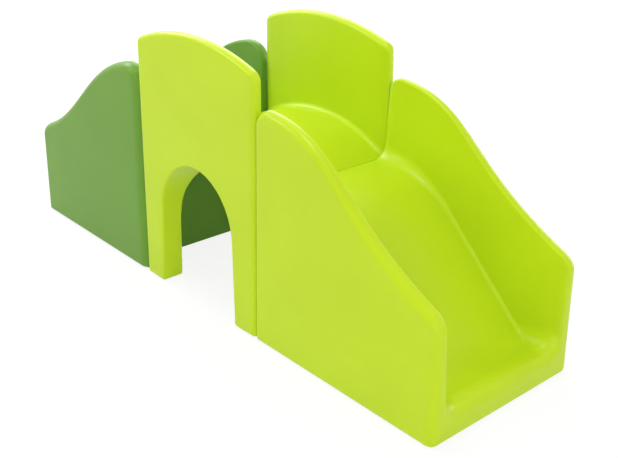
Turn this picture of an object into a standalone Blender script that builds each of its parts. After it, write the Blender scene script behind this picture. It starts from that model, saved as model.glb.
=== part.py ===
# Toddler play set of three rotomoulded modules standing in a row along X: steps, a bridge with an
# arched crawl-through, and a straight slide. Metres, +Z up, origin on the floor under the middle.

import math
from collections import namedtuple

import bmesh
import bpy
from mathutils import Matrix, Vector

for thing in list(bpy.data.objects):
    bpy.data.objects.remove(thing, do_unlink=True)

# Whole set
SET_WIDTH = 0.600
MODULE_GAP = 0.003
DECK_HEIGHT = 0.480
DRAFT_DEG = 1.0
FLOOR_EDGE_R = 0.011
FIT_CLEAR = 0.0003
SEAT_MOUTH = 0.010

# Rounding of each kind of face at a module's free end and where it joins its neighbour; inner faces
# ease in over a longer run and leave a narrow flat between the roundings
END_OUTER_R = 0.027
END_TOP_R = 0.037
JOIN_OUTER_R = 0.018
JOIN_TOP_R = 0.060
PANEL_END_TOP_R = 0.022
INNER_END_RUN = 0.045
INNER_END_FLAT = 0.002
PANEL_END_DEPTH = 0.012
CRAWL_END_R = 0.012
END_DECK_R = 0.004

# Steps module, measured from its bridge end outwards
STAIR_LENGTH = 0.759
STAIR_WALL = 0.062
STAIR_WALL_HIGH = 0.747
STAIR_WALL_LOW = 0.360
STAIR_EASE_HIGH = 0.359
STAIR_EASE_LOW = 0.354
STAIR_END_SLOPE = 0.345
STEP_COUNT = 4
RISER_LEAN = 0.010
STEP_NOSE_R = 0.016
STEP_FOOT_R = 0.012

# Bridge module
BRIDGE_LENGTH = 0.620
PANEL_HEIGHT = 0.842
PANEL_CROWN = 0.059
PANEL_TOP_T = 0.036
LEG_DEPTH = 0.082
DECK_CROWN = 0.085
DECK_COVE_R = 0.018
DECK_EDGE_T = 0.022
CRAWL_SPRING = 0.240
DOOR_WIDTH = 0.385
DOOR_SPRING = 0.285
JAMB_FLARE_DEG = 2.4
DOOR_EDGE_R = 0.009

# Slide module, measured from its bridge end outwards
SLIDE_LENGTH = 0.742
SLIDE_WALL = 0.047
SLIDE_WALL_HIGH = 0.754
SLIDE_WALL_LOW = 0.368
SLIDE_EASE_HIGH = 0.355
SLIDE_EASE_LOW = 0.451
SLIDE_END_SLOPE = 0.425
BED_BREAK = 0.198
BED_BREAK_R = 0.350
RUNOUT_LENGTH = 0.110
RUNOUT_HEIGHT = 0.068
RUNOUT_R = 0.110
LIP_RISE = 0.044
LIP_R = 0.050
COVE_WIDE_R = 0.055
COVE_TIGHT_R = 0.016
COVE_EXIT_R = 0.045
COVE_EXIT_RUN = 0.160

# Walls of the steps and the slide; each module's wall thickness is taken from the full set width
WALL_TOP_OUTER_R = 0.034
WALL_TOP_INNER_R = 0.013
WALL_LEAN_DEG = 3.0
RECESS_DEPTH = 0.084
RECESS_R = 0.020
SHELF_T = 0.066

# Link pegs, rubber feet and vent plugs
PEG_R = 0.012
PEG_REACH = 0.030
PEG_COLLAR_R = 0.017
PEG_TIP = 0.003
PEG_LOW = 0.140
PEG_BELOW_DECK = 0.100
FOOT_R = 0.020
FOOT_SEAT = 0.006
FOOT_PROUD = 0.002
FOOT_INSET = 0.055
PLUG_R = 0.008
PLUG_REACH = 0.016
PLUG_HEAD_R = 0.013
PLUG_HEAD_T = 0.003

# Mesh fineness
ROUND_SIDES = 16
STATION_STEP = 0.034
EDGE_STEPS = 3
END_STEPS = 5
ARCH_STEPS = 16
CRAWL_STEPS = 6
SMALL_STEPS = 2
BREAK_STEPS = 7
RUNOUT_STEPS = 6
SHARP_DEG = 38
MERGE_WITHIN = 0.00001
HALVINGS = 40
TINY = 1e-9
STRAIGHT = 0.001
# Largest share of an edge that the roundings at its two corners may take
EDGE_SHARE = 0.96
# Least reach of a rounding along its edges, as a share of its radius
LEAST_REACH = 0.25
# Least half width of the crawl arch where the doorway rises above it
CRAWL_LEAST = 0.060

HALF = SET_WIDTH / 2
SET_LENGTH = STAIR_LENGTH + BRIDGE_LENGTH + SLIDE_LENGTH + 2 * MODULE_GAP
BRIDGE_X = -SET_LENGTH / 2 + STAIR_LENGTH + MODULE_GAP
STAIR_X = BRIDGE_X - MODULE_GAP
SLIDE_X = BRIDGE_X + BRIDGE_LENGTH + MODULE_GAP
LEG_Y = HALF - LEG_DEPTH / 2
LEG_INNER = HALF - LEG_DEPTH
CRAWL_RISE = DECK_HEIGHT - DECK_EDGE_T - CRAWL_SPRING
PEG_HIGH = DECK_HEIGHT - PEG_BELOW_DECK
DRAFT = math.tan(math.radians(DRAFT_DEG))
WALL_LEAN = math.tan(math.radians(WALL_LEAN_DEG))


# Collections and materials

def new_collection(name):
    made = bpy.data.collections.new(name)
    bpy.context.scene.collection.children.link(made)
    return made


PARTS = new_collection("straight_slide")
CUTTERS = new_collection("straight_slide_cutters")


def plastic(name, colour, roughness):
    made = bpy.data.materials.new(name)
    made.use_nodes = True
    shader = made.node_tree.nodes["Principled BSDF"]
    shader.inputs["Base Color"].default_value = (*colour, 1.0)
    shader.inputs["Roughness"].default_value = roughness
    shader.inputs["Metallic"].default_value = 0.0
    made.diffuse_color = (*colour, 1.0)
    return made


LIME = plastic("lime_polyethylene", (0.50, 0.72, 0.030), 0.38)
GREEN = plastic("green_polyethylene", (0.19, 0.36, 0.072), 0.42)
RUBBER = plastic("grey_rubber", (0.045, 0.045, 0.048), 0.75)
NYLON = plastic("dark_nylon", (0.060, 0.065, 0.060), 0.50)


def place(name, mesh, material, parent, location=(0, 0, 0), turn=(0, 0, 0), cutter=False):
    made = bpy.data.objects.new(name, mesh)
    (CUTTERS if cutter else PARTS).objects.link(made)
    made.parent = parent
    made.location = location
    made.rotation_euler = turn
    if cutter:
        made.hide_render = True
        made.display_type = "WIRE"
    elif not mesh.materials:
        mesh.materials.append(material)
    return made


def module_origin(name, x):
    made = bpy.data.objects.new(name, None)
    PARTS.objects.link(made)
    made.location = (x, 0, 0)
    return made


# Outline tools: rounded corners, inward offset and arcs

# Length that each corner's rounding takes of its edges; roundings that meet on an edge share it out
def corner_reaches(points, radii):
    count = len(points)
    wanted = []
    for index, radius in enumerate(radii):
        if radius == 0:
            wanted.append(0.0)
            continue
        to_before = points[index - 1] - points[index]
        to_after = points[(index + 1) % count] - points[index]
        wanted.append(radius * max(1 / math.tan(to_before.angle(to_after) / 2), LEAST_REACH))
    fitted = []
    for index, reach in enumerate(wanted):
        share = 1.0
        for other in (index - 1, (index + 1) % count):
            room = EDGE_SHARE * (points[other] - points[index]).length
            if reach > 0 and reach + wanted[other] > room:
                share = min(share, room / (reach + wanted[other]))
        fitted.append(reach * share)
    return fitted


def fillet(before, corner, after, reach, steps):
    if reach == 0:
        return [corner]
    to_before = (before - corner).normalized()
    to_after = (after - corner).normalized()
    half_angle = to_before.angle(to_after) / 2
    start = to_before * reach
    end = to_after * reach
    sweep = math.pi - 2 * half_angle
    middle = (to_before + to_after).normalized() * (reach / math.cos(half_angle))
    points = []
    for step in range(steps + 1):
        part = step / steps
        if sweep < STRAIGHT:
            points.append(corner + start * (1 - part) ** 2 + end * part ** 2)
            continue
        spoke = (start - middle) * math.sin((1 - part) * sweep) + (end - middle) * math.sin(part * sweep)
        points.append(corner + middle + spoke / math.sin(sweep))
    return points


def rounded(points, radii, steps):
    reaches = corner_reaches(points, radii)
    made = []
    for index, corner in enumerate(points):
        after = points[(index + 1) % len(points)]
        made += fillet(points[index - 1], corner, after, reaches[index], steps[index])
    return made


# An open path of (x, z, radius, steps); a radius of zero keeps the point
def rounded_path(corners):
    points = [Vector((x, z)) for x, z, radius, steps in corners]
    return rounded(points, [corner[2] for corner in corners], [corner[3] for corner in corners])


# Rounding of a face at a module's end: how deep it goes in and how far along the module it runs
Ease = namedtuple("Ease", "depth run")


def round_end(radius):
    return Ease(radius, radius)


# A corner of a closed section; `end` rounds over, at the module's ends, the face that starts here
Corner = namedtuple("Corner", "y z radius steps end")


# Complete a section from its right-hand side; closing is the end rounding of the face between the halves
def mirrored(side, closing):
    flipped = []
    for index in reversed(range(len(side))):
        face_end = side[index - 1].end if index else closing
        flipped.append(side[index]._replace(y=-side[index].y, end=face_end))
    return side + flipped


def end_inset(ease, distance):
    if distance >= ease.run:
        return 0.0
    return ease.depth * (1 - math.sqrt(1 - (1 - distance / ease.run) ** 2))


# Points of an anticlockwise section that lies `distance` from the nearer end of its module
def rounded_section(corners, distance):
    count = len(corners)
    insets = [end_inset(corner.end, distance) for corner in corners]
    moved = []
    for index, corner in enumerate(corners):
        here = Vector((corner.y, corner.z))
        along_in = (here - Vector(corners[index - 1][:2])).normalized()
        along_out = (Vector(corners[(index + 1) % count][:2]) - here).normalized()
        normal_in = Vector((-along_in.y, along_in.x))
        normal_out = Vector((-along_out.y, along_out.x))
        shared = normal_in.dot(normal_out)
        if shared > 1 - TINY:
            moved.append(here + normal_out * insets[index])
            continue
        push_in = insets[index - 1] - shared * insets[index]
        push_out = insets[index] - shared * insets[index - 1]
        moved.append(here + (normal_in * push_in + normal_out * push_out) / (1 - shared ** 2))
    return rounded(moved, [corner.radius for corner in corners], [corner.steps for corner in corners])


# Height of a circular arch with its ends at `end` and its middle `crown` higher
def arch_height(x, length, end, crown):
    radius = (length * length / 4 + crown * crown) / (2 * crown)
    across = x - length / 2
    return end + crown - radius + math.sqrt(radius * radius - across * across)


# S-shaped wall top: level at the bridge, easing down to a slope at the outer end
def wall_top(u, length, high, low, ease_high, ease_low, end_slope):
    reach = (0, ease_high, length - ease_low, length)
    rise = (high, high, low + end_slope * ease_low, low)

    def bezier(values, t):
        a, b, c, d = values
        return a * (1 - t) ** 3 + 3 * b * t * (1 - t) ** 2 + 3 * c * t * t * (1 - t) + d * t ** 3

    under, over = 0.0, 1.0
    for _ in range(HALVINGS):
        middle = (under + over) / 2
        if bezier(reach, middle) < u:
            under = middle
        else:
            over = middle
    return bezier(rise, under)


def height_on(path, u):
    for start, end in zip(path, path[1:]):
        if start.x <= u <= end.x:
            return start.y + (end.y - start.y) * (u - start.x) / max(end.x - start.x, TINY)
    return path[0].y if u < path[0].x else path[-1].y


# Distances from an end at which its rounding is cut into sections
def end_stations():
    reach = max(END_OUTER_R, END_TOP_R, JOIN_TOP_R, INNER_END_RUN, LIP_R)
    return [reach * (1 - math.cos(math.pi / 2 * step / END_STEPS)) for step in range(END_STEPS + 1)]


# Stations along a whole module: rounded ends, the given marks and even filling between them
def stations(marks, length):
    near = end_stations()
    margin = near[-1] + FLOOR_EDGE_R / 2
    inner = [u for u in marks if margin < u < length - margin]
    filled = []
    for start, end in zip([near[-1]] + inner, inner + [length - near[-1]]):
        pieces = max(1, math.ceil((end - start) / STATION_STEP))
        filled += [start + (end - start) * piece / pieces for piece in range(1, pieces)]
    return near + sorted(inner + filled) + [length - u for u in reversed(near)]


# Skin over a row of sections that have equal point counts, closed at both ends
def loft(name, rings):
    built = bmesh.new()
    rows = [[built.verts.new(point) for point in ring] for ring in rings]
    count = len(rows[0])
    for row, after in zip(rows, rows[1:]):
        for index in range(count):
            around = (index + 1) % count
            built.faces.new((row[index], row[around], after[around], after[index]))
    built.faces.new(rows[0])
    built.faces.new(rows[-1])
    bmesh.ops.recalc_face_normals(built, faces=built.faces[:])
    mesh = bpy.data.meshes.new(name)
    built.to_mesh(mesh)
    built.free()
    mesh.shade_smooth()
    mesh.set_sharp_from_angle(angle=math.radians(SHARP_DEG))
    return mesh


# Turned piece about Z from a profile of (radius, height), top to bottom
def turned(name, profile):
    lines = bpy.data.meshes.new(name + "_profile")
    points = [(radius, 0, height) for radius, height in profile]
    lines.from_pydata(points, [(n, n + 1) for n in range(len(points) - 1)], [])
    spun = bpy.data.objects.new(name + "_spin", lines)
    CUTTERS.objects.link(spun)
    screw = spun.modifiers.new("turn", "SCREW")
    screw.axis = "Z"
    screw.angle = math.tau
    screw.steps = ROUND_SIDES
    screw.render_steps = ROUND_SIDES
    screw.use_merge_vertices = True
    screw.merge_threshold = MERGE_WITHIN
    mesh = bpy.data.meshes.new_from_object(spun.evaluated_get(bpy.context.evaluated_depsgraph_get()))
    mesh.name = name
    bpy.data.objects.remove(spun)
    tidy = bmesh.new()
    tidy.from_mesh(mesh)
    bmesh.ops.remove_doubles(tidy, verts=tidy.verts[:], dist=MERGE_WITHIN)
    bmesh.ops.recalc_face_normals(tidy, faces=tidy.faces[:])
    tidy.to_mesh(mesh)
    tidy.free()
    mesh.shade_smooth()
    mesh.set_sharp_from_angle(angle=math.radians(SHARP_DEG))
    return mesh


# Cut all seats out of a body at once, with the cutters joined into one
def cut(body, cutters):
    joined = bmesh.new()
    for cutter in cutters:
        first = len(joined.verts)
        joined.from_mesh(cutter.data)
        joined.verts.ensure_lookup_table()
        bmesh.ops.transform(joined, matrix=cutter.matrix_basis, verts=joined.verts[first:])
        bpy.data.objects.remove(cutter)
    mesh = bpy.data.meshes.new(body.name + "_seats")
    joined.to_mesh(mesh)
    joined.free()
    difference = body.modifiers.new("cut_seats", "BOOLEAN")
    difference.operation = "DIFFERENCE"
    difference.solver = "EXACT"
    difference.object = place(mesh.name, mesh, None, body.parent, cutter=True)


# Small pieces: each profile is grown by a clearance to make its own seat

def peg_profile():
    collar = MODULE_GAP / 2 - FIT_CLEAR
    tip = PEG_REACH + MODULE_GAP / 2
    return [(0, tip), (PEG_R - PEG_TIP, tip), (PEG_R, tip - PEG_TIP), (PEG_R, collar),
            (PEG_COLLAR_R, collar), (PEG_COLLAR_R, -collar), (PEG_R, -collar),
            (PEG_R, PEG_TIP - tip), (PEG_R - PEG_TIP, -tip), (0, -tip)]


def seat_profile(radius, depth, mouth):
    return [(0, depth), (radius + FIT_CLEAR, depth), (radius + FIT_CLEAR, -mouth), (0, -mouth)]


def plug_profile(grow, mouth):
    neck = PLUG_HEAD_T + grow
    return [(0, PLUG_REACH + grow), (PLUG_R + grow, PLUG_REACH + grow), (PLUG_R + grow, neck),
            (PLUG_HEAD_R + grow, neck), (PLUG_HEAD_R + grow, -mouth), (0, -mouth)]


FOOT_EASE = FOOT_PROUD / 2
PEG_MESH = turned("link_peg", peg_profile())
FOOT_MESH = turned("foot", [(0, FOOT_SEAT), (FOOT_R, FOOT_SEAT), (FOOT_R, FOOT_EASE - FOOT_PROUD),
                            (FOOT_R - FOOT_EASE, -FOOT_PROUD), (0, -FOOT_PROUD)])
PLUG_MESH = turned("vent_plug", plug_profile(0, 0))
PEG_SEAT = turned("peg_seat", seat_profile(PEG_R, PEG_REACH + FIT_CLEAR, SEAT_MOUTH))
FOOT_SEAT_CUT = turned("foot_seat", seat_profile(FOOT_R, FOOT_SEAT + FIT_CLEAR, SEAT_MOUTH))
PLUG_SEAT = turned("plug_seat", plug_profile(FIT_CLEAR, SEAT_MOUTH))

PEG_SPOTS = [(side * LEG_Y, height) for side in (-1, 1) for height in (PEG_LOW, PEG_HIGH)]


# Seats for pegs in the end face at x, opening towards `facing`
def peg_seats(prefix, origin, x, facing):
    made = []
    for number, (y, z) in enumerate(PEG_SPOTS, 1):
        made.append(place(f"{prefix}_peg_seat_{number}", PEG_SEAT, None, origin, (x, y, z),
                          (0, -facing * math.pi / 2, 0), cutter=True))
    return made


def feet(prefix, origin, spots):
    made = []
    for number, (x, y) in enumerate(spots, 1):
        place(f"{prefix}_foot_{number}", FOOT_MESH, RUBBER, origin, (x, y, FOOT_PROUD))
        made.append(place(f"{prefix}_foot_seat_{number}", FOOT_SEAT_CUT, None, origin, (x, y, FOOT_PROUD),
                          cutter=True))
    return made


def vent_plug(prefix, origin, x, z):
    place(f"{prefix}_vent_plug", PLUG_MESH, NYLON, origin, (x, 0, z))
    return place(f"{prefix}_plug_seat", PLUG_SEAT, None, origin, (x, 0, z), cutter=True)


# Hollow under the shelf that meets the deck, open to the crawl space and the floor
def recess(prefix, origin, direction):
    shape = bmesh.new()
    bmesh.ops.create_cube(shape, size=1.0)
    height = DECK_HEIGHT - SHELF_T
    spare = 2 * RECESS_R
    stretch = Matrix.Diagonal((RECESS_DEPTH + spare, 2 * LEG_INNER, height + spare, 1))
    bmesh.ops.transform(shape, matrix=stretch, verts=shape.verts[:])
    bmesh.ops.bevel(shape, geom=shape.edges[:], offset=RECESS_R, segments=SMALL_STEPS, profile=0.5,
                    affect="EDGES")
    mesh = bpy.data.meshes.new(prefix + "_recess")
    shape.to_mesh(mesh)
    shape.free()
    centre = (direction * (RECESS_DEPTH - spare) / 2, 0, (height - spare) / 2)
    return place(prefix + "_recess", mesh, None, origin, centre, cutter=True)


# Channel modules: two S-topped walls with steps or a slide bed between them

def channel_section(top, bed, wall, cove, outer_end_r, top_end_r, bed_end_r):
    outer_low = HALF - DRAFT * FOOT_PROUD
    outer_high = HALF - DRAFT * top
    inner_high = HALF - wall
    inner_low = inner_high - WALL_LEAN * (top - bed)
    inner_end = Ease(outer_high - inner_high - outer_end_r - INNER_END_FLAT, INNER_END_RUN)
    return mirrored([
        Corner(outer_low, FOOT_PROUD, FLOOR_EDGE_R, SMALL_STEPS, round_end(outer_end_r)),
        Corner(outer_high, top, WALL_TOP_OUTER_R, EDGE_STEPS, round_end(top_end_r)),
        Corner(inner_high, top, WALL_TOP_INNER_R, EDGE_STEPS, inner_end),
        Corner(inner_low, bed, cove, EDGE_STEPS, round_end(bed_end_r)),
    ], round_end(FLOOR_EDGE_R))


def channel_module(prefix, x, direction, length, wall, top_shape, bed, cove_at, lip_r, material):
    origin = module_origin(prefix + "_module", x)
    rings = []
    for u in stations([point.x for point in bed], length):
        joins = u < length / 2
        end_radii = (JOIN_OUTER_R, JOIN_TOP_R, END_DECK_R) if joins else (END_OUTER_R, END_TOP_R, lip_r)
        top = wall_top(u, length, *top_shape)
        section = channel_section(top, height_on(bed, u), wall, cove_at(u), *end_radii)
        points = rounded_section(section, min(u, length - u))
        rings.append([(direction * u * (1 - DRAFT * z / length), y, z) for y, z in points])
    body = place(prefix + "_body", loft(prefix + "_body", rings), material, origin)
    spots = [(direction * u, side * LEG_Y) for u in (FOOT_INSET, length - FOOT_INSET) for side in (-1, 1)]
    cutters = [recess(prefix, origin, direction)]
    cutters += peg_seats(prefix, origin, 0, -direction)
    cutters += feet(prefix, origin, spots)
    cutters.append(vent_plug(prefix, origin, direction * length / 2, FOOT_PROUD))
    cut(body, cutters)
    for number, (y, z) in enumerate(PEG_SPOTS, 1):
        place(f"{prefix}_link_{number}", PEG_MESH, NYLON, origin, (-direction * MODULE_GAP / 2, y, z),
              (0, math.pi / 2, 0))
    return body


# Step profile from the top tread, level with the deck, down to the outer end
def step_path():
    rise = DECK_HEIGHT / STEP_COUNT
    going = STAIR_LENGTH / STEP_COUNT
    corners = [(0, DECK_HEIGHT, 0, 0)]
    for step in range(1, STEP_COUNT):
        height = DECK_HEIGHT - rise * step
        corners.append((going * step - RISER_LEAN / 2, height + rise, STEP_NOSE_R, EDGE_STEPS))
        corners.append((going * step + RISER_LEAN / 2, height, STEP_FOOT_R, SMALL_STEPS))
    corners.append((STAIR_LENGTH, rise, 0, 0))
    return rounded_path(corners)


# Slide bed: level start, straight run and a concave run-out up to the lip
def bed_path():
    return rounded_path([
        (0, DECK_HEIGHT, 0, 0),
        (BED_BREAK, DECK_HEIGHT, BED_BREAK_R, BREAK_STEPS),
        (SLIDE_LENGTH - RUNOUT_LENGTH, RUNOUT_HEIGHT, RUNOUT_R, RUNOUT_STEPS),
        (SLIDE_LENGTH, RUNOUT_HEIGHT + LIP_RISE, 0, 0),
    ])


# The cove beside the bed is wide at the deck, tight along the run and wide again at the run-out
def slide_cove(u):
    def ease(part):
        part = min(max(part, 0), 1)
        return part * part * (3 - 2 * part)

    tightened = COVE_WIDE_R + (COVE_TIGHT_R - COVE_WIDE_R) * ease(u / (SLIDE_LENGTH / 2))
    exit_part = (u - SLIDE_LENGTH + COVE_EXIT_RUN) / RUNOUT_LENGTH
    return tightened + (COVE_EXIT_R - COVE_TIGHT_R) * ease(exit_part)


# Bridge: H-shaped sections whose legs end on the doorway curve

# Doorway curve along one side: floor, flared jamb, round arch, jamb, floor
def door_path():
    middle = BRIDGE_LENGTH / 2
    radius = DOOR_WIDTH / 2
    flare = math.tan(math.radians(JAMB_FLARE_DEG)) * (DOOR_SPRING - FOOT_PROUD)
    foot = middle - radius - flare
    left = rounded_path([(0, FOOT_PROUD, 0, 0), (foot, FOOT_PROUD, FLOOR_EDGE_R, EDGE_STEPS),
                         (middle - radius, DOOR_SPRING, 0, 0)])
    lower, upper = left[-2], left[-1]
    left.insert(-1, lower.lerp(upper, 0.5))
    for step in range(1, ARCH_STEPS // 2 + 1):
        angle = math.pi * step / ARCH_STEPS
        left.append(Vector((middle - radius * math.cos(angle), DOOR_SPRING + radius * math.sin(angle))))
    return left + [Vector((BRIDGE_LENGTH - point.x, point.y)) for point in reversed(left[:-1])]


# Crawl arch from steps to slide, right-hand side from its crown to its foot, cut off at leg_end
def crawl_arch(leg_end):
    cut_off = min(max((leg_end - CRAWL_SPRING) / CRAWL_RISE, 0), 1)
    foot = min(math.asin(cut_off), math.acos(CRAWL_LEAST / LEG_INNER))
    points = []
    for step in reversed(range(CRAWL_STEPS)):
        angle = foot + (math.pi / 2 - foot) * (step + 0.5) / CRAWL_STEPS
        height = CRAWL_SPRING + CRAWL_RISE * math.sin(angle)
        points.append((LEG_INNER * math.cos(angle), max(height, leg_end)))
    return points + [(LEG_INNER * math.cos(foot), leg_end)]


def bridge_section(x, leg_end):
    top = arch_height(x, BRIDGE_LENGTH, PANEL_HEIGHT, PANEL_CROWN)
    deck = arch_height(x, BRIDGE_LENGTH, DECK_HEIGHT, DECK_CROWN)
    inner = HALF - DRAFT * PANEL_HEIGHT - PANEL_TOP_T
    edge = FLOOR_EDGE_R if leg_end <= FOOT_PROUD else DOOR_EDGE_R
    crawl_end = round_end(CRAWL_END_R)
    *arch, (foot_y, foot_z) = crawl_arch(leg_end)
    return mirrored([Corner(y, z, 0, 0, crawl_end) for y, z in arch] + [
        Corner(foot_y, foot_z, edge, SMALL_STEPS, round_end(FLOOR_EDGE_R)),
        Corner(HALF - DRAFT * leg_end, leg_end, edge, SMALL_STEPS, round_end(JOIN_OUTER_R)),
        Corner(HALF - DRAFT * top, top, PANEL_TOP_T / 2, EDGE_STEPS, round_end(PANEL_END_TOP_R)),
        Corner(inner, top, PANEL_TOP_T / 2, EDGE_STEPS, Ease(PANEL_END_DEPTH, INNER_END_RUN)),
        Corner(inner, deck, DECK_COVE_R, EDGE_STEPS, round_end(END_DECK_R)),
    ], crawl_end)


# Points near the doorway curve are rounded over square to the curve, not straight up
def lean_to_curve(point, x, leg_end, normal):
    y, z = point
    away = z - leg_end
    if away > DOOR_EDGE_R + FIT_CLEAR:
        return (x, y, z)
    return (x + normal.x * away, y, leg_end + normal.y * away)


def bridge_module():
    origin = module_origin("bridge_module", BRIDGE_X)
    curve = door_path()
    rings = []
    for u in end_stations():
        rings.append([(u, y, z) for y, z in rounded_section(bridge_section(u, FOOT_PROUD), u)])
    for before, here, after in zip(curve, curve[1:], curve[2:]):
        along = (after - before).normalized()
        normal = Vector((-along.y, along.x))
        section = rounded_section(bridge_section(here.x, here.y), here.x)
        rings.append([lean_to_curve(point, here.x, here.y, normal) for point in section])
    for ring in reversed(rings[:END_STEPS + 1]):
        rings.append([(BRIDGE_LENGTH - x, y, z) for x, y, z in ring])
    body = place("bridge_body", loft("bridge_body", rings), LIME, origin)
    leg_x = (curve[1].x + FLOOR_EDGE_R) / 2
    spots = [(x, side * LEG_Y) for x in (leg_x, BRIDGE_LENGTH - leg_x) for side in (-1, 1)]
    cutters = peg_seats("bridge_stair", origin, 0, -1)
    cutters += peg_seats("bridge_slide", origin, BRIDGE_LENGTH, 1)
    cutters += feet("bridge", origin, spots)
    underside = crawl_arch(DOOR_SPRING + DOOR_WIDTH / 2)[0][1]
    cutters.append(vent_plug("bridge", origin, BRIDGE_LENGTH / 2, underside))
    cut(body, cutters)


bridge_module()
channel_module("stair", STAIR_X, -1, STAIR_LENGTH, STAIR_WALL,
               (STAIR_WALL_HIGH, STAIR_WALL_LOW, STAIR_EASE_HIGH, STAIR_EASE_LOW, STAIR_END_SLOPE),
               step_path(), lambda u: COVE_TIGHT_R, STEP_NOSE_R, GREEN)
channel_module("slide", SLIDE_X, 1, SLIDE_LENGTH, SLIDE_WALL,
               (SLIDE_WALL_HIGH, SLIDE_WALL_LOW, SLIDE_EASE_HIGH, SLIDE_EASE_LOW, SLIDE_END_SLOPE),
               bed_path(), slide_cove, LIP_R, LIME)
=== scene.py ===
import math

import bmesh
import bpy
from mathutils import Matrix, Vector


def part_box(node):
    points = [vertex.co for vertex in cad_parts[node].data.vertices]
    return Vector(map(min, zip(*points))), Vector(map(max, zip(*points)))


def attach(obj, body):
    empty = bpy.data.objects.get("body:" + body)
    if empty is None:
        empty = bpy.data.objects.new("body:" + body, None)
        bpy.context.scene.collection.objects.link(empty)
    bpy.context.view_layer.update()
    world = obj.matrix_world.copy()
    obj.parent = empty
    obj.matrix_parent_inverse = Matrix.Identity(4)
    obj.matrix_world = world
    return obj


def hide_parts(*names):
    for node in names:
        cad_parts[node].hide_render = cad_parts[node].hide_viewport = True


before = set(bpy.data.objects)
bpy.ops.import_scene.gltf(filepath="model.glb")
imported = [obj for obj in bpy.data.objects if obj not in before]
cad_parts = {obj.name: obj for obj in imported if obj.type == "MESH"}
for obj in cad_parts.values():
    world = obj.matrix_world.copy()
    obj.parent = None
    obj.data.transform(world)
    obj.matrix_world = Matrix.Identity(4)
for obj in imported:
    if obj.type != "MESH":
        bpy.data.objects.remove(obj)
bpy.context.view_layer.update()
scene = bpy.context.scene
print("frame loaded:", len(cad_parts), "nodes")

# sizes that the three modules share, metres
playSet = {
    "half": 0.300,              # half the width of the set
    "gap": 0.003,               # between two solids; the shells come 1 mm nearer on each side
    "deck": 0.480,
    "draft": math.tan(math.radians(1.0)),
    "wallLean": math.tan(math.radians(3.0)),
    "topOuter": 0.034,          # rounding of a wall's top, outside and inside
    "topInner": 0.013,
    "standOff": 0.002,          # the feet lift the bodies this far
    "floorEdge": 0.011,
    "legDepth": 0.082,
    "freeOuter": 0.027,         # roll-over of the outer faces and tops at a free end
    "freeTop": 0.037,
    "joinOuter": 0.018,         # roll-over of the bridge's outer faces
    "panelEndTop": 0.022,
    "innerRun": 0.045,          # inner faces ease in over this length
    "innerFlat": 0.002,         # and leave this between the two roundings
    "panelInner": 0.012,
    "crawlEnd": 0.012,
    "endDeck": 0.004,
    "clear": 0.0003,            # room around a small piece in its seat
    "seatMouth": 0.010,         # seats are cut this far past a body's face
}

shading = {"sharp": math.radians(32), "evenWeight": 80}

fineness = {"end": 16, "edge": 8, "small": 5, "station": 0.010, "arch": 72, "crawl": 24,
            "round": 48, "bed": 24, "jamb": 16, "turned": 4}

fourOf = range(1, 5)            # feet and pegs are numbered from one


# outline tools

outline = {
    "leastReach": 0.25,         # shortest reach of a rounding, in radii
    "edgeShare": 0.96,          # roundings may take this much of an edge
    "straightOn": 0.001,        # a smaller turn counts as straight, radians
    "stationRoom": 0.004,       # marks nearer to an end than this are left out
    "halvings": 40,             # for the place on a wall's top curve
    "tiny": 1e-9,
}


def cornerReaches(points, radii):  # roundings that meet on an edge share it out
    count = len(points)
    wanted = []
    for index, radius in enumerate(radii):
        if radius == 0:
            wanted.append(0.0)
            continue
        toBefore = points[index - 1] - points[index]
        toAfter = points[(index + 1) % count] - points[index]
        run = 1 / math.tan(toBefore.angle(toAfter) / 2)
        wanted.append(radius * max(run, outline["leastReach"]))
    fitted = []
    for index, reach in enumerate(wanted):
        share = 1.0
        for other in (index - 1, (index + 1) % count):
            room = outline["edgeShare"] * (points[other] - points[index]).length
            if reach > 0 and reach + wanted[other] > room:
                share = min(share, room / (reach + wanted[other]))
        fitted.append(reach * share)
    return fitted


def roundCorner(before, corner, after, reach, steps):
    if reach == 0:
        return [corner]
    toBefore = (before - corner).normalized()
    toAfter = (after - corner).normalized()
    halfAngle = toBefore.angle(toAfter) / 2
    start = toBefore * reach
    end = toAfter * reach
    sweep = math.pi - 2 * halfAngle
    middle = (toBefore + toAfter).normalized() * (reach / math.cos(halfAngle))
    points = []
    for step in range(steps + 1):
        part = step / steps
        if sweep < outline["straightOn"]:
            points.append(corner + start * (1 - part) ** 2 + end * part ** 2)
            continue
        fromStart = (start - middle) * math.sin((1 - part) * sweep)
        fromEnd = (end - middle) * math.sin(part * sweep)
        points.append(corner + middle + (fromStart + fromEnd) / math.sin(sweep))
    return points


def roundAll(points, radii, steps):
    reaches = cornerReaches(points, radii)
    made = []
    for index, corner in enumerate(points):
        after = points[(index + 1) % len(points)]
        made += roundCorner(points[index - 1], corner, after, reaches[index], steps[index])
    return made


def roundPath(corners):  # open path of (x, z, radius, steps)
    points = [Vector(corner[:2]) for corner in corners]
    return roundAll(points, [corner[2] for corner in corners], [corner[3] for corner in corners])


def rollIn(ease, distance):  # ease is (depth, run) of the roll-over at the module's end
    depth, run = ease
    if distance >= run:
        return 0.0
    return depth * (1 - math.sqrt(1 - (1 - distance / run) ** 2))


def roll(radius):
    return (radius, radius)


# the right half of a section is a list of (y, z, radius, steps, roll),
# where the roll belongs to the face that starts there
def bothSides(side, closingRoll):
    left = []
    for index in reversed(range(len(side))):
        y, z, radius, steps, _ = side[index]
        left.append((-y, z, radius, steps, side[index - 1][4] if index else closingRoll))
    return side + left


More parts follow.
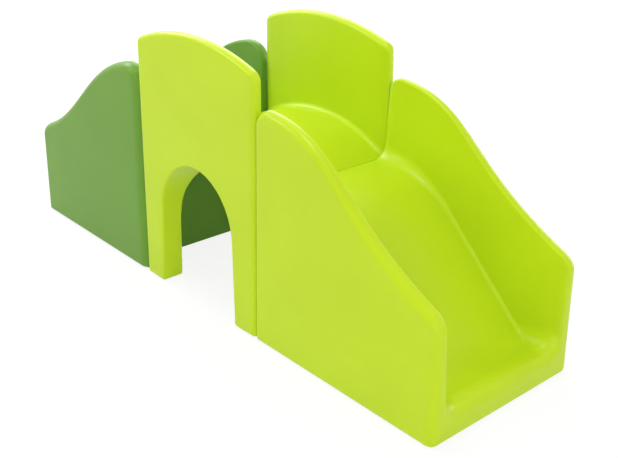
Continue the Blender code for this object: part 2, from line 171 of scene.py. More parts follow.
def sectionPoints(corners, distance):
    count = len(corners)
    insets = [rollIn(corner[4], distance) for corner in corners]
    moved = []
    for index, corner in enumerate(corners):
        here = Vector(corner[:2])
        alongIn = (here - Vector(corners[index - 1][:2])).normalized()
        alongOut = (Vector(corners[(index + 1) % count][:2]) - here).normalized()
        normalIn = Vector((-alongIn.y, alongIn.x))
        normalOut = Vector((-alongOut.y, alongOut.x))
        shared = normalIn.dot(normalOut)
        if shared > 1 - outline["tiny"]:
            moved.append(here + normalOut * insets[index])
            continue
        pushIn = insets[index - 1] - shared * insets[index]
        pushOut = insets[index] - shared * insets[index - 1]
        moved.append(here + (normalIn * pushIn + normalOut * pushOut) / (1 - shared ** 2))
    return roundAll(moved, [corner[2] for corner in corners], [corner[3] for corner in corners])


def archHeight(x, length, end, crown):
    radius = (length * length / 4 + crown * crown) / (2 * crown)
    across = x - length / 2
    return end + crown - radius + math.sqrt(radius * radius - across * across)


def wallTop(u, module):  # S-shaped top of a side wall
    length = module["length"]
    reach = (0, module["easeHigh"], length - module["easeLow"], length)
    low = module["wallLow"]
    rise = (module["wallHigh"], module["wallHigh"], low + module["endSlope"] * module["easeLow"], low)

    def bezier(values, t):
        a, b, c, d = values
        return a * (1 - t) ** 3 + 3 * b * t * (1 - t) ** 2 + 3 * c * t * t * (1 - t) + d * t ** 3

    under, over = 0.0, 1.0
    for _ in range(outline["halvings"]):
        middle = (under + over) / 2
        if bezier(reach, middle) < u:
            under = middle
        else:
            over = middle
    return bezier(rise, under)


def heightOn(path, u):
    for start, end in zip(path, path[1:]):
        if start.x <= u <= end.x:
            run = max(end.x - start.x, outline["tiny"])
            return start.y + (end.y - start.y) * (u - start.x) / run
    return path[0].y if u < path[0].x else path[-1].y


def endStations(reach):  # closer together towards the end
    count = fineness["end"]
    return [reach * (1 - math.cos(math.pi / 2 * n / count)) for n in range(count + 1)]


def stations(marks, length, nearReach, farReach):
    near = endStations(nearReach)
    far = [length - u for u in reversed(endStations(farReach))]
    room = outline["stationRoom"]
    inner = [u for u in marks if near[-1] + room < u < far[0] - room]
    filled = []
    for start, end in zip([near[-1]] + inner, inner + [far[0]]):
        pieces = max(1, math.ceil((end - start) / fineness["station"]))
        filled += [start + (end - start) * n / pieces for n in range(1, pieces)]
    return near + sorted(inner + filled) + far


# mesh tools

def meshFrom(name, built):
    bmesh.ops.recalc_face_normals(built, faces=built.faces[:])
    mesh = bpy.data.meshes.new(name)
    built.to_mesh(mesh)
    built.free()
    return mesh


def skinOver(name, rings):
    built = bmesh.new()
    rows = [[built.verts.new(point) for point in ring] for ring in rings]
    count = len(rows[0])
    for row, after in zip(rows, rows[1:]):
        for index in range(count):
            around = (index + 1) % count
            built.faces.new((row[index], row[around], after[around], after[index]))
    built.faces.new(rows[0])
    built.faces.new(rows[-1])
    return meshFrom(name, built)


def turnedMesh(name, profile, matrix):  # profile of (radius, height), first and last on the axis
    sides = fineness["round"]
    built = bmesh.new()
    rows = []
    for radius, height in profile:
        if radius == 0:
            rows.append([built.verts.new(matrix @ Vector((0, 0, height)))])
            continue
        row = []
        for n in range(sides):
            angle = math.tau * n / sides
            point = Vector((radius * math.cos(angle), radius * math.sin(angle), height))
            row.append(built.verts.new(matrix @ point))
        rows.append(row)
    for row, after in zip(rows, rows[1:]):
        for n in range(sides):
            around = (n + 1) % sides
            corners = [row[n % len(row)], row[around % len(row)],
                       after[around % len(after)], after[n % len(after)]]
            built.faces.new(list(dict.fromkeys(corners)))
    return meshFrom(name, built)


def showPiece(name, mesh, material, nodes):
    piece = bpy.data.objects.new(name, mesh)
    scene.collection.objects.link(piece)
    mesh.materials.clear()
    mesh.materials.append(material)
    mesh.shade_smooth()
    mesh.set_sharp_from_angle(angle=shading["sharp"])
    even = piece.modifiers.new("evenShading", "WEIGHTED_NORMAL")
    even.keep_sharp = True
    even.weight = shading["evenWeight"]
    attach(piece, "root")
    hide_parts(*nodes)
    return piece


def cutAway(mesh, cutters):  # the cutters become one tool, so that one boolean does them all
    body = bpy.data.objects.new("body", mesh)
    joined = bmesh.new()
    for cutter in cutters:
        joined.from_mesh(cutter)
    tool = bpy.data.objects.new("tool", meshFrom("tool", joined))
    scene.collection.objects.link(body)
    scene.collection.objects.link(tool)
    seat = body.modifiers.new("seats", "BOOLEAN")
    seat.operation = "DIFFERENCE"
    seat.solver = "EXACT"
    seat.object = tool
    graph = bpy.context.evaluated_depsgraph_get()
    result = bpy.data.meshes.new_from_object(body.evaluated_get(graph))
    bpy.data.objects.remove(body)
    bpy.data.objects.remove(tool)
    return result


# shared effects as node groups

def newGroup(name, inputs, outputs):
    group = bpy.data.node_groups.new(name, "ShaderNodeTree")
    sockets = group.interface
    for label, kind, value in inputs:
        socket = sockets.new_socket(name=label, in_out="INPUT", socket_type="NodeSocket" + kind)
        socket.default_value = value
    for label, kind in outputs:
        sockets.new_socket(name=label, in_out="OUTPUT", socket_type="NodeSocket" + kind)
    return group, group.nodes.new("NodeGroupInput"), group.nodes.new("NodeGroupOutput")


def addNode(tree, kind, inputs=None, **settings):
    node = tree.nodes.new("ShaderNode" + kind)
    for key, value in settings.items():
        setattr(node, key, value)
    for key, value in (inputs or {}).items():
        if isinstance(value, bpy.types.NodeSocket):
            tree.links.new(value, node.inputs[key])
        else:
            node.inputs[key].default_value = value
    return node


def noiseOf(tree, vector, scale, detail, roughness=0.5):
    return addNode(tree, "TexNoise", {"Vector": vector, "Scale": scale, "Detail": detail,
                                      "Roughness": roughness}).outputs["Fac"]


def spread(tree, value, low, high, toLow=0.0, toHigh=1.0):
    return addNode(tree, "MapRange", {"Value": value, "From Min": low, "From Max": high,
                                      "To Min": toLow, "To Max": toHigh}).outputs["Result"]


def maths(tree, operation, first, second):
    return addNode(tree, "Math", {0: first, 1: second}, operation=operation).outputs["Value"]


# fine skin that the mould leaves on the plastic

mouldSkin = {"peelDetail": 2.0, "grainDetail": 3.0, "grainRough": 0.6, "swellScale": 7.0,
             "swellDetail": 1.0, "peelHigh": 0.55, "grainHigh": 0.22, "swellHigh": 1.4}


def mouldGrainGroup():
    group, given, out = newGroup("mouldGrain",
                                 [("Peel Scale", "Float", 120.0), ("Grain Scale", "Float", 700.0)],
                                 [("Height", "Float"), ("Grain", "Float")])
    place = addNode(group, "TexCoord").outputs["Object"]
    peel = noiseOf(group, place, given.outputs["Peel Scale"], mouldSkin["peelDetail"])
    grain = noiseOf(group, place, given.outputs["Grain Scale"], mouldSkin["grainDetail"],
                    mouldSkin["grainRough"])
    swell = noiseOf(group, place, mouldSkin["swellScale"], mouldSkin["swellDetail"])
    height = maths(group, "MULTIPLY", peel, mouldSkin["peelHigh"])
    height = maths(group, "ADD", height, maths(group, "MULTIPLY", grain, mouldSkin["grainHigh"]))
    height = maths(group, "ADD", height, maths(group, "MULTIPLY", swell, mouldSkin["swellHigh"]))
    group.links.new(height, out.inputs["Height"])
    group.links.new(grain, out.inputs["Grain"])
    return group


# slow drift of the resin's colour and tiny pale specks in it

resinDrift = {"cloudDetail": 3.0, "cloudRange": (0.3, 0.7), "speckScale": 900.0, "speckDetail": 1.0,
              "speckRange": (0.62, 0.8), "speckPale": 0.5}


def resinToneGroup():
    group, given, out = newGroup("resinTone",
                                 [("Tint", "Color", (0.5, 0.5, 0.5, 1)), ("Drift", "Float", 0.04),
                                  ("Cloud Scale", "Float", 4.0)],
                                 [("Color", "Color")])
    place = addNode(group, "TexCoord").outputs["Object"]
    cloud = noiseOf(group, place, given.outputs["Cloud Scale"], resinDrift["cloudDetail"])
    cloud = spread(group, cloud, *resinDrift["cloudRange"], -1.0, 1.0)
    speck = noiseOf(group, place, resinDrift["speckScale"], resinDrift["speckDetail"])
    speck = spread(group, speck, *resinDrift["speckRange"], 0.0, resinDrift["speckPale"])
    change = maths(group, "MULTIPLY", maths(group, "ADD", cloud, speck), given.outputs["Drift"])
    hue = addNode(group, "HueSaturation", {"Color": given.outputs["Tint"],
                                           "Value": maths(group, "ADD", 1.0, change)})
    group.links.new(hue.outputs["Color"], out.inputs["Color"])
    return group


# faint rub marks where shoes and trousers pass, strongest on faces that look up

rubMarks = {
    "lineStretch": (5.0, 130.0, 9.0), "lineDetail": 4.0, "lineRange": (0.56, 0.72),
    "smearStretch": (90.0, 16.0, 60.0), "smearTurn": (0.3, 0.2, 0.6), "smearDetail": 3.0,
    "smearRange": (0.62, 0.78), "smearPart": 0.7,
    "patchScale": 5.0, "patchDetail": 2.0, "patchRange": (0.42, 0.66),
    "facingRange": (0.2, 0.8), "facingLeast": 0.12,
}


def useMarksGroup():
    group, given, out = newGroup("useMarks", [("Amount", "Float", 0.3)], [("Rub", "Float")])
    place = addNode(group, "TexCoord").outputs["Object"]
    drawn = addNode(group, "Mapping", {"Vector": place, "Scale": rubMarks["lineStretch"]})
    crossed = addNode(group, "Mapping", {"Vector": place, "Scale": rubMarks["smearStretch"],
                                         "Rotation": rubMarks["smearTurn"]})
    lines = noiseOf(group, drawn.outputs["Vector"], 1.0, rubMarks["lineDetail"])
    lines = spread(group, lines, *rubMarks["lineRange"])
    smears = noiseOf(group, crossed.outputs["Vector"], 1.0, rubMarks["smearDetail"])
    smears = spread(group, smears, *rubMarks["smearRange"])
    patches = noiseOf(group, place, rubMarks["patchScale"], rubMarks["patchDetail"])
    patches = spread(group, patches, *rubMarks["patchRange"])
    normal = addNode(group, "NewGeometry").outputs["Normal"]
    upward = addNode(group, "SeparateXYZ", {"Vector": normal}).outputs["Z"]
    facing = spread(group, upward, *rubMarks["facingRange"], rubMarks["facingLeast"], 1.0)
    marks = maths(group, "MAXIMUM", lines, maths(group, "MULTIPLY", smears, rubMarks["smearPart"]))
    marks = maths(group, "MULTIPLY", maths(group, "MULTIPLY", marks, patches), facing)
    group.links.new(maths(group, "MULTIPLY", marks, given.outputs["Amount"]), out.inputs["Rub"])
    return group


groups = {"mouldGrain": mouldGrainGroup(), "resinTone": resinToneGroup(), "useMarks": useMarksGroup()}

finish = {"grainRange": (0.3, 0.7), "roughSwing": 0.03, "rubRough": 0.25, "bumpDistance": 0.001}


def groupIn(tree, name, values):
    node = addNode(tree, "Group", node_tree=groups[name])
    for key, value in values.items():
        node.inputs[key].default_value = value
    return node.outputs


def mouldedMaterial(name, look):
    material = bpy.data.materials.new(name)
    material.use_nodes = True
    tree = material.node_tree
    shader = tree.nodes["Principled BSDF"]
    tone = groupIn(tree, "resinTone", {"Tint": (*look["tint"], 1), "Drift": look["drift"],
                                       "Cloud Scale": look["cloud"]})["Color"]
    skin = groupIn(tree, "mouldGrain", {"Peel Scale": look["peel"], "Grain Scale": look["grain"]})
    rub = groupIn(tree, "useMarks", {"Amount": look["marks"]})["Rub"]
    colours = {"Factor": rub, 6: tone, 7: (*look["wornTint"], 1)}  # 6 and 7 are the two colours
    worn = addNode(tree, "Mix", colours, data_type="RGBA")
    smooth, dull = look["rough"] - finish["roughSwing"], look["rough"] + finish["roughSwing"]
    rough = spread(tree, skin["Grain"], *finish["grainRange"], smooth, dull)
    rough = maths(tree, "ADD", rough, maths(tree, "MULTIPLY", rub, finish["rubRough"]))
    bump = addNode(tree, "Bump", {"Height": skin["Height"], "Strength": look["bump"],
                                  "Distance": finish["bumpDistance"]})
    tree.links.new(worn.outputs[2], shader.inputs["Base Color"])  # 2 is the colour result
    tree.links.new(rough, shader.inputs["Roughness"])
    tree.links.new(bump.outputs["Normal"], shader.inputs["Normal"])
    shader.inputs["Specular IOR Level"].default_value = look["gloss"]
    material.diffuse_color = (*look["tint"], 1)
    return material


limeLook = {"tint": (0.516, 0.692, 0.012), "wornTint": (0.56, 0.76, 0.08),
            "drift": 0.025, "cloud": 4.0, "peel": 140.0, "grain": 800.0,
            "bump": 0.10, "rough": 0.31, "gloss": 0.22, "marks": 0.25}
greenLook = {"tint": (0.144, 0.310, 0.034), "wornTint": (0.27, 0.44, 0.14),
             "drift": 0.03, "cloud": 4.0, "peel": 140.0, "grain": 800.0,
             "bump": 0.10, "rough": 0.34, "gloss": 0.18, "marks": 0.25}
rubberLook = {"tint": (0.030, 0.030, 0.032), "wornTint": (0.12, 0.12, 0.115),
              "drift": 0.10, "cloud": 60.0, "peel": 500.0, "grain": 2200.0,
              "bump": 0.35, "rough": 0.72, "gloss": 0.25, "marks": 0.6}
nylonLook = {"tint": (0.050, 0.055, 0.050), "wornTint": (0.14, 0.15, 0.14),
             "drift": 0.08, "cloud": 40.0, "peel": 400.0, "grain": 1800.0,
             "bump": 0.20, "rough": 0.50, "gloss": 0.40, "marks": 0.3}

limePlastic = mouldedMaterial("limePlastic", limeLook)
greenPlastic = mouldedMaterial("greenPlastic", greenLook)
footRubber = mouldedMaterial("footRubber", rubberLook)
pegNylon = mouldedMaterial("pegNylon", nylonLook)
print("materials made")


# seats that the small pieces sit in, read from the CAD nodes' own places

pegSize = {"radius": 0.012, "collar": 0.017, "tip": 0.003, "collarEase": 0.0006,
           "grips": (0.72, 0.48), "gripHalf": 0.0012, "gripDeep": 0.0006}  # grips in parts of the reach
plugSize = {"radius": 0.008, "headRadius": 0.013, "head": 0.003,
            "neckEase": 0.0012, "headEase": 0.0004, "rimEase": 0.0008,
            # places in parts of the head's radius, each with its depth
            "dimple": ((0.62, 0), (0.52, 0.0009), (0.18, 0.0009), (0.10, 0.0004), (0, 0.0004))}


def seatAt(node, axis):
    low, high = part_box(node)
    middle = (low + high) / 2
    size = (high - low) / 2
    grow = playSet["clear"]
    turn = Matrix.Rotation(math.pi / 2, 4, "Y") if axis == "X" else Matrix.Identity(4)
    length = size.x if axis == "X" else size.z
    radius = pegSize["radius"] if axis == "X" else size.x
    above = length + grow
    below = length + (playSet["seatMouth"] if axis == "Z" else grow)
    bore = radius + grow
    profile = [(0, above), (bore, above), (bore, -below), (0, -below)]
    if axis == "X":  # the collar sinks into both shells
        wide, collar = pegSize["collar"] + grow, playSet["gap"] / 2
        profile[2:2] = [(bore, collar), (wide, collar), (wide, -collar), (bore, -collar)]
    return turnedMesh("seat", profile, Matrix.Translation(middle) @ turn)


def plugSeatAt(node):
    low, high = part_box(node)
    middle = (low + high) / 2
    grow = playSet["clear"]
    neck = plugSize["head"] + grow
    tall = high.z - low.z + grow
    bore, wide = plugSize["radius"] + grow, plugSize["headRadius"] + grow
    mouth = -playSet["seatMouth"]
    profile = [(0, tall), (bore, tall), (bore, neck), (wide, neck), (wide, mouth), (0, mouth)]
    return turnedMesh("plugSeat", profile, Matrix.Translation((middle.x, middle.y, low.z)))


recessSize = {"depth": 0.084, "shelf": 0.066, "round": 0.020, "segments": 6}


def recessTool(x, direction):  # hollow under the shelf that meets the deck
    shape = bmesh.new()
    bmesh.ops.create_cube(shape, size=1.0)
    height = playSet["deck"] - recessSize["shelf"]
    spare = 2 * recessSize["round"]
    width = 2 * (playSet["half"] - playSet["legDepth"])
    stretch = Matrix.Diagonal((recessSize["depth"] + spare, width, height + spare, 1))
    bmesh.ops.transform(shape, matrix=stretch, verts=shape.verts[:])
    bmesh.ops.bevel(shape, geom=shape.edges[:], offset=recessSize["round"],
                    segments=recessSize["segments"], profile=0.5, affect="EDGES")
    centre = (x + direction * (recessSize["depth"] - spare) / 2, 0, (height - spare) / 2)
    bmesh.ops.translate(shape, vec=centre, verts=shape.verts[:])
    return meshFrom("recess", shape)


# channel modules: two S-topped walls with steps or a slide bed between them

def channelSection(top, bed, wall, cove, outerEnd, topEnd, bedEnd):
    half = playSet["half"]
    stand = playSet["standOff"]
    outerHigh = half - playSet["draft"] * top
    innerHigh = half - wall
    innerEnd = (outerHigh - innerHigh - outerEnd - playSet["innerFlat"], playSet["innerRun"])
    edge = fineness["edge"]
    outerLow = half - playSet["draft"] * stand
    return bothSides([
        (outerLow, stand, playSet["floorEdge"], fineness["small"], roll(outerEnd)),
        (outerHigh, top, playSet["topOuter"], edge, roll(topEnd)),
        (innerHigh, top, playSet["topInner"], edge, innerEnd),
        (innerHigh - playSet["wallLean"] * (top - bed), bed, cove, edge, roll(bedEnd)),
    ], roll(playSet["floorEdge"]))


def channelMesh(name, module, path, coveAt):
    length = module["length"]
    direction = module["direction"]
    joinEnds = (module["joinOuter"], module["joinTop"], playSet["endDeck"])
    freeEnds = (playSet["freeOuter"], playSet["freeTop"], module["lip"])
    rings = []
    for u in stations([point.x for point in path], length, max(joinEnds), max(freeEnds)):
        ends = joinEnds if u < length / 2 else freeEnds
        top, bed = wallTop(u, module), heightOn(path, u)
        section = channelSection(top, bed, module["wall"], coveAt(u), *ends)
        points = sectionPoints(section, min(u, length - u))
        rings.append([(module["x"] + direction * u * (1 - playSet["draft"] * z / length), y, z)
                      for y, z in points])
    return skinOver(name, rings)


def channelPiece(prefix, module, path, coveAt, material):
    mesh = channelMesh(prefix + "Shell", module, path, coveAt)
    cutters = [recessTool(module["x"], module["direction"])]
    cutters += [seatAt(f"{prefix}_foot_{n}", "Z") for n in fourOf]
    cutters += [seatAt(f"{prefix}_link_{n}", "X") for n in fourOf]
    cutters.append(plugSeatAt(prefix + "_vent_plug"))
    piece = showPiece(prefix + "Shell", cutAway(mesh, cutters), material, [prefix + "_body"])
    print(piece.name, "faces", len(piece.data.polygons))


stairs = {
    "x": -0.3035, "direction": -1, "length": 0.760, "wall": 0.062,
    "wallHigh": 0.747, "wallLow": 0.360, "easeHigh": 0.359, "easeLow": 0.354, "endSlope": 0.345,
    "steps": 4, "riserLean": 0.010, "nose": 0.016, "foot": 0.012, "lip": 0.016, "cove": 0.016,
    "joinOuter": 0.044, "joinTop": 0.095,  # roll-over of the outer faces and tops beside the bridge
}


def stepPath():
    rise = playSet["deck"] / stairs["steps"]
    going = stairs["length"] / stairs["steps"]
    corners = [(0, playSet["deck"], 0, 0)]
    for step in range(1, stairs["steps"]):
        height = playSet["deck"] - rise * step
        riser, lean = going * step, stairs["riserLean"] / 2
        corners.append((riser - lean, height + rise, stairs["nose"], fineness["edge"]))
        corners.append((riser + lean, height, stairs["foot"], fineness["edge"]))
    corners.append((stairs["length"], rise, 0, 0))
    return roundPath(corners)


channelPiece("stair", stairs, stepPath(), lambda u: stairs["cove"], greenPlastic)

slide = {
    "x": 0.3205, "direction": 1, "length": 0.743, "wall": 0.047,
    "wallHigh": 0.754, "wallLow": 0.368, "easeHigh": 0.355, "easeLow": 0.451, "endSlope": 0.425,
    "break": 0.198, "breakRound": 0.350, "runout": 0.110, "runoutHeight": 0.068, "runoutRound": 0.130,
    "lipRise": 0.044, "lip": 0.060, "joinOuter": 0.018, "joinTop": 0.060,
    "coveWide": 0.055, "coveTight": 0.016, "coveExit": 0.062, "coveExitRun": 0.160,
}


def bedPath():
    length = slide["length"]
    return roundPath([
        (0, playSet["deck"], 0, 0),
        (slide["break"], playSet["deck"], slide["breakRound"], fineness["bed"]),
        (length - slide["runout"], slide["runoutHeight"], slide["runoutRound"], fineness["bed"]),
        (length, slide["runoutHeight"] + slide["lipRise"], 0, 0),
    ])


def easeOf(part):
    part = min(max(part, 0), 1)
    return part * part * (3 - 2 * part)


def slideCove(u):  # wide at the deck, tight down the run, wide again at the run-out
    wide, tight, out = slide["coveWide"], slide["coveTight"], slide["coveExit"]
    exitPart = (u - slide["length"] + slide["coveExitRun"]) / slide["runout"]
    startPart = u / (slide["length"] / 2)
    return wide + (tight - wide) * easeOf(startPart) + (out - tight) * easeOf(exitPart)


channelPiece("slide", slide, bedPath(), slideCove, limePlastic)

bridge = {
    "x": -0.3025, "length": 0.622, "panel": 0.842, "panelCrown": 0.059, "panelTop": 0.036,
    "deckCrown": 0.085, "deckEdge": 0.022, "cove": 0.018, "crawlSpring": 0.240, "crawlLeast": 0.060,
    "doorWidth": 0.385, "doorSpring": 0.285, "flare": math.tan(math.radians(2.4)), "doorEdge": 0.009,
    "endReach": 0.046,           # the end roundings lie within this
}


def doorPath():  # floor, flared jamb and half the arch, then the same mirrored
    middle = bridge["length"] / 2
    radius = bridge["doorWidth"] / 2
    stand = playSet["standOff"]
    foot = middle - radius - bridge["flare"] * (bridge["doorSpring"] - stand)
    start = bridge["endReach"]
    corner = roundPath([(0, stand, 0, 0), (foot, stand, playSet["floorEdge"], fineness["edge"]),
                        (middle - radius, bridge["doorSpring"], 0, 0)])
    lower, upper = corner[-2], corner[-1]
    flat = max(1, math.ceil((corner[1].x - start) / fineness["station"]))
    left = [Vector((start + (corner[1].x - start) * n / flat, stand)) for n in range(flat)]
    left += corner[1:-1]
    left += [lower.lerp(upper, n / fineness["jamb"]) for n in range(1, fineness["jamb"] + 1)]
    for step in range(1, fineness["arch"] // 2 + 1):
        angle = math.pi * step / fineness["arch"]
        left.append(Vector((middle - radius * math.cos(angle),
                            bridge["doorSpring"] + radius * math.sin(angle))))
    return left + [Vector((bridge["length"] - point.x, point.y)) for point in reversed(left[:-1])]


def crawlArch(legEnd):  # half of the arch from steps to slide, crown first, cut off by the doorway
    wide = playSet["half"] - playSet["legDepth"]
    rise = playSet["deck"] - bridge["deckEdge"] - bridge["crawlSpring"]
    cutOff = min(max((legEnd - bridge["crawlSpring"]) / rise, 0), 1)
    foot = min(math.asin(cutOff), math.acos(bridge["crawlLeast"] / wide))
    points = []
    for step in reversed(range(fineness["crawl"])):
        angle = foot + (math.pi / 2 - foot) * (step + 0.5) / fineness["crawl"]
        height = bridge["crawlSpring"] + rise * math.sin(angle)
        points.append((wide * math.cos(angle), max(height, legEnd)))
    return points, wide * math.cos(foot)


def bridgeSection(x, legEnd):
    half = playSet["half"]
    draft = playSet["draft"]
    top = archHeight(x, bridge["length"], bridge["panel"], bridge["panelCrown"])
    deck = archHeight(x, bridge["length"], playSet["deck"], bridge["deckCrown"])
    inner = half - draft * bridge["panel"] - bridge["panelTop"]
    edge = playSet["floorEdge"] if legEnd <= playSet["standOff"] else bridge["doorEdge"]
    few, many = fineness["small"], fineness["edge"]
    crawlEnd = roll(playSet["crawlEnd"])
    arch, footY = crawlArch(legEnd)
    return bothSides([(y, z, 0, 0, crawlEnd) for y, z in arch] + [
        (footY, legEnd, edge, few, roll(playSet["floorEdge"])),
        (half - draft * legEnd, legEnd, edge, few, roll(playSet["joinOuter"])),
        (half - draft * top, top, bridge["panelTop"] / 2, many, roll(playSet["panelEndTop"])),
        (inner, top, bridge["panelTop"] / 2, many, (playSet["panelInner"], playSet["innerRun"])),
        (inner, deck, bridge["cove"], many, roll(playSet["endDeck"])),
    ], crawlEnd)


def leanToDoor(point, x, legEnd, normal):  # the door's edge rounds over square to its curve
    y, z = point
    away = z - legEnd
    if away > bridge["doorEdge"] + playSet["clear"]:
        return (bridge["x"] + x, y, z)
    return (bridge["x"] + x + normal.x * away, y, legEnd + normal.y * away)


def bridgeMesh():
    rings = []
    for u in endStations(bridge["endReach"])[:-1]:
        points = sectionPoints(bridgeSection(u, playSet["standOff"]), u)
        rings.append([(bridge["x"] + u, y, z) for y, z in points])
    ends = len(rings)
    curve = doorPath()
    for index, here in enumerate(curve):
        along = curve[min(index + 1, len(curve) - 1)] - curve[max(index - 1, 0)]
        along.normalize()
        normal = Vector((-along.y, along.x))
        distance = min(here.x, bridge["length"] - here.x)
        points = sectionPoints(bridgeSection(here.x, here.y), distance)
        rings.append([leanToDoor(point, here.x, here.y, normal) for point in points])
    for ring in reversed(rings[:ends]):
        rings.append([(2 * bridge["x"] + bridge["length"] - x, y, z) for x, y, z in ring])
    return skinOver("bridgeShell", rings)


def bridgePiece():
    cutters = [seatAt(f"bridge_foot_{n}", "Z") for n in fourOf]
    cutters += [seatAt(f"{side}_link_{n}", "X") for side in ("stair", "slide") for n in fourOf]
    cutters.append(plugSeatAt("bridge_vent_plug"))
    mesh = cutAway(bridgeMesh(), cutters)
    piece = showPiece("bridgeShell", mesh, limePlastic, ["bridge_body"])
    print(piece.name, "faces", len(piece.data.polygons))


bridgePiece()

# small turned pieces, made finer than their solids and kept inside them

footSize = {"ease": 0.0012, "backEase": 0.0004, "grooves": (0.0055, 0.0095, 0.0135),
            "grooveHalf": 0.0009, "grooveDeep": 0.0008, "grooveTaper": 0.6}


def quarterTurn(first):  # angles of a small rounding
    return [math.pi / 2 * n / fineness["turned"] for n in range(first, fineness["turned"] + 1)]


def footPiece(node):
    low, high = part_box(node)
    radius = (high.x - low.x) / 2
    tall = high.z - low.z
    ease, back = footSize["ease"], footSize["backEase"]
    profile = [(0, tall), (radius - back, tall), (radius, tall - back)]
    for angle in quarterTurn(0):
        profile.append((radius - ease + ease * math.cos(angle), ease - ease * math.sin(angle)))
    wide, deep = footSize["grooveHalf"], footSize["grooveDeep"]
    narrow = wide * footSize["grooveTaper"]
    for groove in reversed(footSize["grooves"]):
        profile += [(groove + wide, 0), (groove + narrow, deep)]
        profile += [(groove - narrow, deep), (groove - wide, 0)]
    profile.append((0, 0))
    middle = (low + high) / 2
    mesh = turnedMesh(node + "Pad", profile, Matrix.Translation((middle.x, middle.y, low.z)))
    showPiece(node + "Pad", mesh, footRubber, [node])


def pegPiece(node):
    low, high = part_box(node)
    middle = (low + high) / 2
    reach = (high.x - low.x) / 2
    collar = playSet["gap"] / 2 - playSet["clear"]
    radius, tip = pegSize["radius"], pegSize["tip"]
    half = [(0, reach), (radius - tip, reach)]
    for angle in quarterTurn(1):
        half.append((radius - tip + tip * math.sin(angle), reach - tip + tip * math.cos(angle)))
    wide, deep = pegSize["gripHalf"], pegSize["gripDeep"]
    for part in pegSize["grips"]:
        groove = reach * part
        half += [(radius, groove + wide), (radius - deep, groove), (radius, groove - wide)]
    rim, ease = pegSize["collar"], pegSize["collarEase"]
    half += [(radius, collar), (rim - ease, collar), (rim, collar - ease)]
    profile = half + [(r, -h) for r, h in reversed(half)]
    turn = Matrix.Translation(middle) @ Matrix.Rotation(math.pi / 2, 4, "Y")
    mesh = turnedMesh(node + "Peg", profile, turn)
    showPiece(node + "Peg", mesh, pegNylon, [node])


def plugPiece(node):
    low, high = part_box(node)
    middle = (low + high) / 2
    tall = high.z - low.z
    radius, wide, head = plugSize["radius"], plugSize["headRadius"], plugSize["head"]
    neckEase, headEase, rimEase = plugSize["neckEase"], plugSize["headEase"], plugSize["rimEase"]
    profile = [(0, tall), (radius - neckEase, tall), (radius, tall - neckEase), (radius, head),
               (wide - headEase, head), (wide, head - headEase), (wide, rimEase), (wide - rimEase, 0)]
    profile += [(wide * part, deep) for part, deep in plugSize["dimple"]]
    mesh = turnedMesh(node + "Cap", profile, Matrix.Translation((middle.x, middle.y, low.z)))
    showPiece(node + "Cap", mesh, pegNylon, [node])


for prefix in ("stair", "bridge", "slide"):
    for n in fourOf:
        footPiece(f"{prefix}_foot_{n}")
    plugPiece(prefix + "_vent_plug")
for prefix in ("stair", "slide"):
    for n in fourOf:
        pegPiece(f"{prefix}_link_{n}")
print("feet, pegs and plugs made")

# camera at the photograph's viewing angle

view = {"focalPixels": 946.282, "imageWidth": 618, "place": (2.36389, -1.86037, 1.53968),
        "turn": 48.87949, "tilt": 24.28909, "twist": 0.38439, "sensor": 36, "farClip": 100}


def placeCamera():
    turn, tilt, twist = (math.radians(view[key]) for key in ("turn", "tilt", "twist"))
    level = math.cos(tilt)
    back = Vector((math.sin(turn) * level, -math.cos(turn) * level, math.sin(tilt)))
    right = Vector((math.cos(turn), math.sin(turn), 0))
    up = back.cross(right)
    across = right * math.cos(twist) + up * math.sin(twist)
    above = up * math.cos(twist) - right * math.sin(twist)
    camera = bpy.data.objects.new("camera", bpy.data.cameras.new("camera"))
    camera.data.sensor_width = view["sensor"]
    camera.data.lens = view["focalPixels"] / view["imageWidth"] * view["sensor"]
    camera.data.clip_end = view["farClip"]
    pose = Matrix((across, above, back)).transposed().to_4x4()
    pose.translation = view["place"]
    camera.matrix_world = pose
    scene.collection.objects.link(camera)
    scene.camera = camera


placeCamera()

# soft studio light and a pale floor

studio = {
    "sky": 0.34,
    "boxes": {                  # place, size, power
        "keyBox": ((-2.4, -2.9, 3.0), 0.8, 38),
        "leftBox": ((-3.1, -0.5, 2.8), 1.5, 62),
        "topBox": ((0.4, -0.5, 3.4), 1.1, 27),
        "fillBox": ((3.2, -2.7, 1.4), 4.2, 78),
        "rightBox": ((3.4, 1.2, 2.6), 2.5, 25),
        "backBox": ((-2.5, 2.2, 3.2), 3.0, 108),
        "rimBox": ((1.0, 3.1, 0.5), 2.0, 36),
    },
    "aim": (0.1, 0.0, 0.45),
    "floorRadius": 40.0, "floorSides": 96, "floorRough": 0.9,
    "floorTone": 0.94,          # as it lights the set
    "floorSeen": 0.15,          # the shaded part of what is seen, above the white lift
    "floorLift": (0.86, 1.0), "liftFrom": (1.2, 4.5),  # from near to far
}


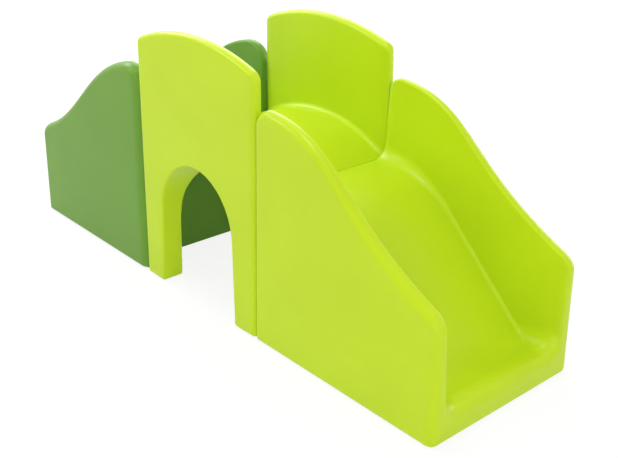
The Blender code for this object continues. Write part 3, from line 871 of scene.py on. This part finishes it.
def softbox(name, place, size, power):
    lamp = bpy.data.objects.new(name, bpy.data.lights.new(name, "AREA"))
    lamp.data.shape = "SQUARE"
    lamp.data.size = size
    lamp.data.energy = power
    lamp.location = place
    towards = Vector(studio["aim"]) - Vector(place)
    lamp.rotation_euler = towards.to_track_quat("-Z", "Y").to_euler()
    scene.collection.objects.link(lamp)


def seenRays(tree):  # white for the camera, in reflections and through glass
    path = addNode(tree, "LightPath").outputs
    seen = maths(tree, "MAXIMUM", path["Is Camera Ray"], path["Is Glossy Ray"])
    return maths(tree, "MAXIMUM", seen, path["Is Transmission Ray"])


def whiteWorld():
    world = bpy.data.worlds.new("studio")
    scene.world = world
    world.use_nodes = True
    tree = world.node_tree
    back = tree.nodes["Background"]
    back.inputs["Color"].default_value = (1, 1, 1, 1)
    strength = spread(tree, seenRays(tree), 0.0, 1.0, studio["sky"], 1.0)
    tree.links.new(strength, back.inputs["Strength"])


# the floor lightens to white away from the set
def paleFloor():
    built = bmesh.new()
    bmesh.ops.create_circle(built, cap_ends=True, segments=studio["floorSides"],
                            radius=studio["floorRadius"])
    floor = bpy.data.objects.new("floor", meshFrom("floor", built))
    scene.collection.objects.link(floor)
    material = bpy.data.materials.new("paleFloor")
    material.use_nodes = True
    tree = material.node_tree
    shader = tree.nodes["Principled BSDF"]
    seen = seenRays(tree)
    tone = spread(tree, seen, 0.0, 1.0, studio["floorTone"], studio["floorSeen"])
    place = addNode(tree, "TexCoord").outputs["Object"]
    away = addNode(tree, "VectorMath", {0: place}, operation="LENGTH").outputs["Value"]
    lift = spread(tree, away, *studio["liftFrom"], *studio["floorLift"])
    tree.links.new(tone, shader.inputs["Base Color"])
    shader.inputs["Roughness"].default_value = studio["floorRough"]
    shader.inputs["Specular IOR Level"].default_value = 0.0
    shader.inputs["Emission Color"].default_value = (1, 1, 1, 1)
    tree.links.new(maths(tree, "MULTIPLY", seen, lift), shader.inputs["Emission Strength"])
    floor.data.materials.append(material)


for name, (place, size, power) in studio["boxes"].items():
    softbox(name, place, size, power)
whiteWorld()
paleFloor()
scene.view_settings.view_transform = "Standard"
print("camera, light and floor set")
